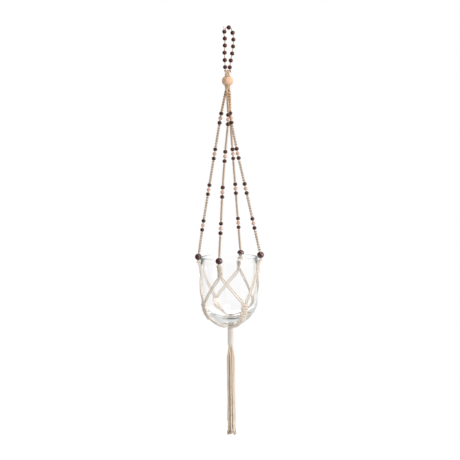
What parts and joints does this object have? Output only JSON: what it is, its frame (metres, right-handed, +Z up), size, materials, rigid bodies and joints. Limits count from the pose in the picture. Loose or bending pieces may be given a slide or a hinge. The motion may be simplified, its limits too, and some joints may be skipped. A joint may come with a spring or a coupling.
{
  "type": "hanging macrame planter",
  "caption": "Knotted cord hanger with wooden beads, a clear round-bottomed glass vessel in its net, a beaded hanging loop and a long tassel.",
  "frame": {"origin": "the hook seat: the middle of a hook wire laid in the top of the beaded loop, on the vertical line through the planter's axis", "axes": "+Z up along the planter's axis, the loop lies in the XZ plane, the front strand is on the -Y side"},
  "size_m": [0.1729, 0.1736, 1.0251],
  "materials": {
    "natural_cord": "twisted cotton cord, matte, unbleached cream",
    "loop_cord": "thin twisted cotton cord, matte",
    "dark_wood": "dark brown stained wood, satin varnish",
    "pale_wood": "natural pale wood, satin, fine grain",
    "maroon_lacquer": "dark maroon high gloss lacquer over wood",
    "clear_glass": "clear blown glass, polished, faint grey green edge"
  },
  "bodies": {
    "hanging_loop": {"hanging_loop_cord": "loop_cord"},
    "loop_bead_01": {"loop_bead_01": "dark_wood"},
    "loop_bead_02": {"loop_bead_02": "dark_wood"},
    "loop_bead_03": {"loop_bead_03": "dark_wood"},
    "loop_bead_04": {"loop_bead_04": "dark_wood"},
    "loop_bead_05": {"loop_bead_05": "dark_wood"},
    "loop_bead_06": {"loop_bead_06": "dark_wood"},
    "loop_bead_07": {"loop_bead_07": "dark_wood"},
    "loop_bead_08": {"loop_bead_08": "dark_wood"},
    "loop_bead_09": {"loop_bead_09": "dark_wood"},
    "loop_bead_10": {"loop_bead_10": "dark_wood"},
    "loop_bead_11": {"loop_bead_11": "dark_wood"},
    "loop_bead_12": {"loop_bead_12": "dark_wood"},
    "loop_bead_13": {"loop_bead_13": "dark_wood"},
    "neck": {"neck_cords": "natural_cord"},
    "crown_bead": {"crown_bead": "pale_wood"},
    "strand_gather": {"strand_gather": "natural_cord"},
    "cradle": {"strand_front": "natural_cord", "strand_right": "natural_cord", "strand_back": "natural_cord", "strand_left": "natural_cord", "upper_knot_band_front": "natural_cord", "upper_knot_band_right": "natural_cord", "upper_knot_band_back": "natural_cord", "upper_knot_band_left": "natural_cord", "net_pair_front_to_right": "natural_cord", "net_pair_right_to_front": "natural_cord", "lower_knot_band_front_right": "natural_cord", "net_pair_right_to_back": "natural_cord", "net_pair_back_to_right": "natural_cord", "lower_knot_band_right_back": "natural_cord", "net_pair_back_to_left": "natural_cord", "net_pair_left_to_back": "natural_cord", "lower_knot_band_back_left": "natural_cord", "net_pair_left_to_front": "natural_cord", "net_pair_front_to_left": "natural_cord", "lower_knot_band_left_front": "natural_cord"},
    "glass_vessel": {"glass_vessel": "clear_glass"},
    "gathering_wrap": {"gathering_wrap": "natural_cord"},
    "tassel": {"tassel": "natural_cord"},
    "bead_trio_front_1": {"bead_trio_front_1": "dark_wood"},
    "bead_trio_front_2": {"bead_trio_front_2": "dark_wood"},
    "bead_trio_front_3": {"bead_trio_front_3": "dark_wood"},
    "bead_trio_front_4": {"bead_trio_front_4": "dark_wood"},
    "rim_bead_front": {"rim_bead_front": "maroon_lacquer"},
    "bead_trio_right_1": {"bead_trio_right_1": "dark_wood"},
    "bead_trio_right_2": {"bead_trio_right_2": "dark_wood"},
    "bead_trio_right_3": {"bead_trio_right_3": "dark_wood"},
    "bead_trio_right_4": {"bead_trio_right_4": "dark_wood"},
    "rim_bead_right": {"rim_bead_right": "maroon_lacquer"},
    "bead_trio_back_1": {"bead_trio_back_1": "dark_wood"},
    "bead_trio_back_2": {"bead_trio_back_2": "dark_wood"},
    "bead_trio_back_3": {"bead_trio_back_3": "dark_wood"},
    "bead_trio_back_4": {"bead_trio_back_4": "dark_wood"},
    "rim_bead_back": {"rim_bead_back": "maroon_lacquer"},
    "bead_trio_left_1": {"bead_trio_left_1": "dark_wood"},
    "bead_trio_left_2": {"bead_trio_left_2": "dark_wood"},
    "bead_trio_left_3": {"bead_trio_left_3": "dark_wood"},
    "bead_trio_left_4": {"bead_trio_left_4": "dark_wood"},
    "rim_bead_left": {"rim_bead_left": "maroon_lacquer"}
  },
  "joints": [
    {"name": "cradle_swing_front_back", "type": "hinge", "parent": "hanging_loop", "child": "neck", "pos_m": [0, 0, -0.103], "axis": [1, 0, 0], "range_deg": [-60, 60]},
    {"name": "crown_bead_slide", "type": "slide", "parent": "neck", "child": "crown_bead", "axis": [0, 0, 1], "range_m": [0, 0.008]},
    {"name": "cradle_twist", "type": "hinge", "parent": "neck", "child": "strand_gather", "pos_m": [0, 0, -0.138], "axis": [0, 0, 1], "range_deg": [-180, 180]},
    {"name": "cradle_swing_side", "type": "hinge", "parent": "strand_gather", "child": "cradle", "pos_m": [0, 0, -0.1415], "axis": [0, 1, 0], "range_deg": [-60, 60]},
    {"name": "glass_lift", "type": "slide", "parent": "cradle", "child": "glass_vessel", "axis": [0, 0, 1], "range_m": [0, 0.035]},
    {"name": "base_wrap_swing", "type": "hinge", "parent": "cradle", "child": "gathering_wrap", "pos_m": [0, 0, -0.7432], "axis": [1, 0, 0], "range_deg": [-45, 45]},
    {"name": "tassel_swing", "type": "hinge", "parent": "gathering_wrap", "child": "tassel", "pos_m": [0, 0, -0.79325], "axis": [0, 1, 0], "range_deg": [-60, 60]},
    {"name": "turn_loop_bead_01", "type": "hinge", "parent": "hanging_loop", "child": "loop_bead_01", "pos_m": [0.0058, 0, -0.0904], "axis": [0.1557, 0, 0.9878], "continuous": true},
    {"name": "turn_loop_bead_02", "type": "hinge", "parent": "hanging_loop", "child": "loop_bead_02", "pos_m": [0.0084, 0, -0.0739], "axis": [0.1825, 0, 0.9832], "continuous": true},
    {"name": "turn_loop_bead_03", "type": "hinge", "parent": "hanging_loop", "child": "loop_bead_03", "pos_m": [0.012, 0, -0.057], "axis": [0.1705, 0, 0.9854], "continuous": true},
    {"name": "turn_loop_bead_04", "type": "hinge", "parent": "hanging_loop", "child": "loop_bead_04", "pos_m": [0.0143, 0, -0.0398], "axis": [0.0945, 0, 0.9955], "continuous": true},
    {"name": "turn_loop_bead_05", "type": "hinge", "parent": "hanging_loop", "child": "loop_bead_05", "pos_m": [0.0152, 0, -0.0233], "axis": [-0.0273, 0, 0.9996], "continuous": true},
    {"name": "turn_loop_bead_06", "type": "hinge", "parent": "hanging_loop", "child": "loop_bead_06", "pos_m": [0.0134, 0, -0.0069], "axis": [-0.3515, 0, 0.9362], "continuous": true},
    {"name": "turn_loop_bead_07", "type": "hinge", "parent": "hanging_loop", "child": "loop_bead_07", "pos_m": [0.0042, 0, 0.006], "axis": [-0.9898, 0, 0.1428], "continuous": true},
    {"name": "turn_loop_bead_08", "type": "hinge", "parent": "hanging_loop", "child": "loop_bead_08", "pos_m": [-0.0067, 0, -0.004], "axis": [-0.3531, 0, -0.9356], "continuous": true},
    {"name": "turn_loop_bead_09", "type": "hinge", "parent": "hanging_loop", "child": "loop_bead_09", "pos_m": [-0.0058, 0, -0.0205], "axis": [0.0269, 0, -0.9996], "continuous": true},
    {"name": "turn_loop_bead_10", "type": "hinge", "parent": "hanging_loop", "child": "loop_bead_10", "pos_m": [-0.0058, 0, -0.0374], "axis": [-0.0232, 0, -0.9997], "continuous": true},
    {"name": "turn_loop_bead_11", "type": "hinge", "parent": "hanging_loop", "child": "loop_bead_11", "pos_m": [-0.0066, 0, -0.0549], "axis": [-0.0141, 0, -0.9999], "continuous": true},
    {"name": "turn_loop_bead_12", "type": "hinge", "parent": "hanging_loop", "child": "loop_bead_12", "pos_m": [-0.0063, 0, -0.0728], "axis": [0.0286, 0, -0.9996], "continuous": true},
    {"name": "turn_loop_bead_13", "type": "hinge", "parent": "hanging_loop", "child": "loop_bead_13", "pos_m": [-0.0056, 0, -0.0898], "axis": [0.0411, 0, -0.9992], "continuous": true},
    {"name": "turn_bead_trio_front_1", "type": "hinge", "parent": "cradle", "child": "bead_trio_front_1", "pos_m": [0.00051, -0.01783, -0.219], "axis": [0.0388, 0.1775, 0.9834], "continuous": true},
    {"name": "turn_bead_trio_front_2", "type": "hinge", "parent": "cradle", "child": "bead_trio_front_2", "pos_m": [-0.00788, -0.03398, -0.309], "axis": [0.0841, 0.1746, 0.981], "continuous": true},
    {"name": "turn_bead_trio_front_3", "type": "hinge", "parent": "cradle", "child": "bead_trio_front_3", "pos_m": [-0.01465, -0.04927, -0.3957], "axis": [0.0654, 0.1752, 0.9824], "continuous": true},
    {"name": "turn_bead_trio_front_4", "type": "hinge", "parent": "cradle", "child": "bead_trio_front_4", "pos_m": [-0.01944, -0.06495, -0.4827], "axis": [0.0569, 0.1778, 0.9824], "continuous": true},
    {"name": "turn_rim_bead_front", "type": "hinge", "parent": "cradle", "child": "rim_bead_front", "pos_m": [-0.02418, -0.07909, -0.5604], "axis": [0.0599, 0.1786, 0.9821], "continuous": true},
    {"name": "turn_bead_trio_right_1", "type": "hinge", "parent": "cradle", "child": "bead_trio_right_1", "pos_m": [0.0076, -0.0028, -0.214], "axis": [-0.1191, 0.0438, 0.9919], "continuous": true},
    {"name": "turn_bead_trio_right_2", "type": "hinge", "parent": "cradle", "child": "bead_trio_right_2", "pos_m": [0.02337, -0.0086, -0.3015], "axis": [-0.1957, 0.072, 0.978], "continuous": true},
    {"name": "turn_bead_trio_right_3", "type": "hinge", "parent": "cradle", "child": "bead_trio_right_3", "pos_m": [0.04242, -0.01561, -0.388], "axis": [-0.2115, 0.0778, 0.9743], "continuous": true},
    {"name": "turn_bead_trio_right_4", "type": "hinge", "parent": "cradle", "child": "bead_trio_right_4", "pos_m": [0.06081, -0.02237, -0.474], "axis": [-0.2098, 0.0772, 0.9747], "continuous": true},
    {"name": "turn_rim_bead_right", "type": "hinge", "parent": "cradle", "child": "rim_bead_right", "pos_m": [0.07761, -0.02856, -0.5515], "axis": [-0.2112, 0.0777, 0.9743], "continuous": true},
    {"name": "turn_bead_trio_back_1", "type": "hinge", "parent": "cradle", "child": "bead_trio_back_1", "pos_m": [0.00586, 0.0151, -0.214], "axis": [-0.0634, -0.1635, 0.9845], "continuous": true},
    {"name": "turn_bead_trio_back_2", "type": "hinge", "parent": "cradle", "child": "bead_trio_back_2", "pos_m": [0.01179, 0.03039, -0.302], "axis": [-0.0674, -0.1738, 0.9825], "continuous": true},
    {"name": "turn_bead_trio_back_3", "type": "hinge", "parent": "cradle", "child": "bead_trio_back_3", "pos_m": [0.01794, 0.04624, -0.39], "axis": [-0.0692, -0.1783, 0.9815], "continuous": true},
    {"name": "turn_bead_trio_back_4", "type": "hinge", "parent": "cradle", "child": "bead_trio_back_4", "pos_m": [0.02419, 0.06237, -0.478], "axis": [-0.0702, -0.181, 0.981], "continuous": true},
    {"name": "turn_rim_bead_back", "type": "hinge", "parent": "cradle", "child": "rim_bead_back", "pos_m": [0.02991, 0.0771, -0.5573], "axis": [-0.0707, -0.1822, 0.9807], "continuous": true},
    {"name": "turn_bead_trio_left_1", "type": "hinge", "parent": "cradle", "child": "bead_trio_left_1", "pos_m": [-0.01846, 0.00658, -0.214], "axis": [0.1864, -0.0664, 0.9802], "continuous": true},
    {"name": "turn_bead_trio_left_2", "type": "hinge", "parent": "cradle", "child": "bead_trio_left_2", "pos_m": [-0.0341, 0.01214, -0.302], "axis": [0.1737, -0.0618, 0.9829], "continuous": true},
    {"name": "turn_bead_trio_left_3", "type": "hinge", "parent": "cradle", "child": "bead_trio_left_3", "pos_m": [-0.04974, 0.01771, -0.391], "axis": [0.1718, -0.0612, 0.9832], "continuous": true},
    {"name": "turn_bead_trio_left_4", "type": "hinge", "parent": "cradle", "child": "bead_trio_left_4", "pos_m": [-0.06538, 0.02328, -0.481], "axis": [0.163, -0.058, 0.9849], "continuous": true},
    {"name": "turn_rim_bead_left", "type": "hinge", "parent": "cradle", "child": "rim_bead_left", "pos_m": [-0.07791, 0.02774, -0.5612], "axis": [0.1541, -0.0549, 0.9865], "continuous": true}
  ]
}
